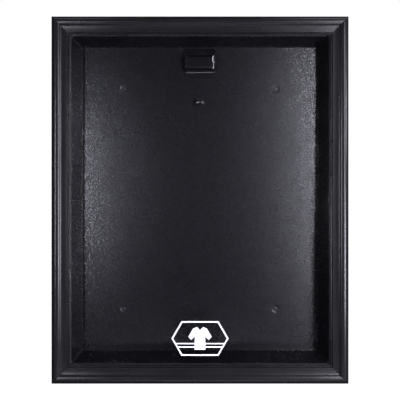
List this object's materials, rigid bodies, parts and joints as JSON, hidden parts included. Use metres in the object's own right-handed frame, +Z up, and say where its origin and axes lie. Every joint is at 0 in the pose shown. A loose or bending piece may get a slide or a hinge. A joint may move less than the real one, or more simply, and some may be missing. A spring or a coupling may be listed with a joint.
{
  "type": "jersey display frame",
  "caption": "Wall-hung display case for a sports jersey: a mitred black wooden front glazed with clear acrylic, hinged to a deep moulded back tray with a garment hook.",
  "frame": {"origin": "centre of the tray's flat back, on the plane that rests against the wall", "axes": "+Z up, +X to the right seen from the front, -Y towards the viewer, +Y into the wall"},
  "size_m": [0.864, 0.089, 1.068],
  "materials": {
    "lacquered_wood": "semi-gloss black lacquer",
    "spline_wood": "raw",
    "clear_acrylic": "polished clear",
    "white_print": "matt screen print",
    "black_moulding": "fine pebble",
    "black_gloss": "polished",
    "foam": "matt foam",
    "rubber_bumper": "matt",
    "blackened_steel": "black oxide",
    "zinc_steel": "zinc plated"
  },
  "bodies": {
    "case": {"back_tray": "black_moulding", "hook_bracket": "black_moulding", "garment_peg": "black_gloss", "foam_gasket_top": "foam", "foam_gasket_bottom": "foam", "foam_gasket_left": "foam", "foam_gasket_right": "foam", "hanger_plate_left": "zinc_steel", "hanger_plate_right": "zinc_steel", "hanger_nut_left": "zinc_steel", "hanger_nut_right": "zinc_steel", "wall_bumper_left": "rubber_bumper", "wall_bumper_right": "rubber_bumper", "cup_screw_upper_left": "blackened_steel", "cup_screw_upper_right": "blackened_steel", "cup_screw_lower_left": "blackened_steel", "cup_screw_lower_right": "blackened_steel", "hinge_upper_tray_leaf": "blackened_steel", "hinge_upper_pin": "zinc_steel", "catch_upper_body": "black_moulding", "hinge_upper_rivet_1": "blackened_steel", "catch_upper_rivet_1": "blackened_steel", "hinge_upper_rivet_2": "blackened_steel", "catch_upper_rivet_2": "blackened_steel", "hinge_lower_tray_leaf": "blackened_steel", "hinge_lower_pin": "zinc_steel", "catch_lower_body": "black_moulding", "hinge_lower_rivet_1": "blackened_steel", "catch_lower_rivet_1": "blackened_steel", "hinge_lower_rivet_2": "blackened_steel", "catch_lower_rivet_2": "blackened_steel"},
    "door": {"rail_top": "lacquered_wood", "rail_bottom": "lacquered_wood", "stile_left": "lacquered_wood", "stile_right": "lacquered_wood", "acrylic_panel": "clear_acrylic", "emblem_decal": "white_print", "glazing_retainer_top": "black_moulding", "glazing_retainer_bottom": "black_moulding", "glazing_retainer_left": "black_moulding", "glazing_retainer_right": "black_moulding", "corner_spline_upper_left": "spline_wood", "corner_spline_upper_right": "spline_wood", "corner_spline_lower_left": "spline_wood", "corner_spline_lower_right": "spline_wood", "hinge_upper_door_leaf": "blackened_steel", "catch_upper_strike": "zinc_steel", "hinge_upper_door_screw_1": "zinc_steel", "catch_upper_strike_screw_1": "zinc_steel", "hinge_upper_door_screw_2": "zinc_steel", "catch_upper_strike_screw_2": "zinc_steel", "hinge_lower_door_leaf": "blackened_steel", "catch_lower_strike": "zinc_steel", "hinge_lower_door_screw_1": "zinc_steel", "catch_lower_strike_screw_1": "zinc_steel", "hinge_lower_door_screw_2": "zinc_steel", "catch_lower_strike_screw_2": "zinc_steel"}
  },
  "joints": [
    {"name": "door_hinge", "type": "hinge", "parent": "case", "child": "door", "pos_m": [-0.388, -0.0585, 0], "axis": [0, 0, -1], "range_deg": [0, 110]}
  ]
}
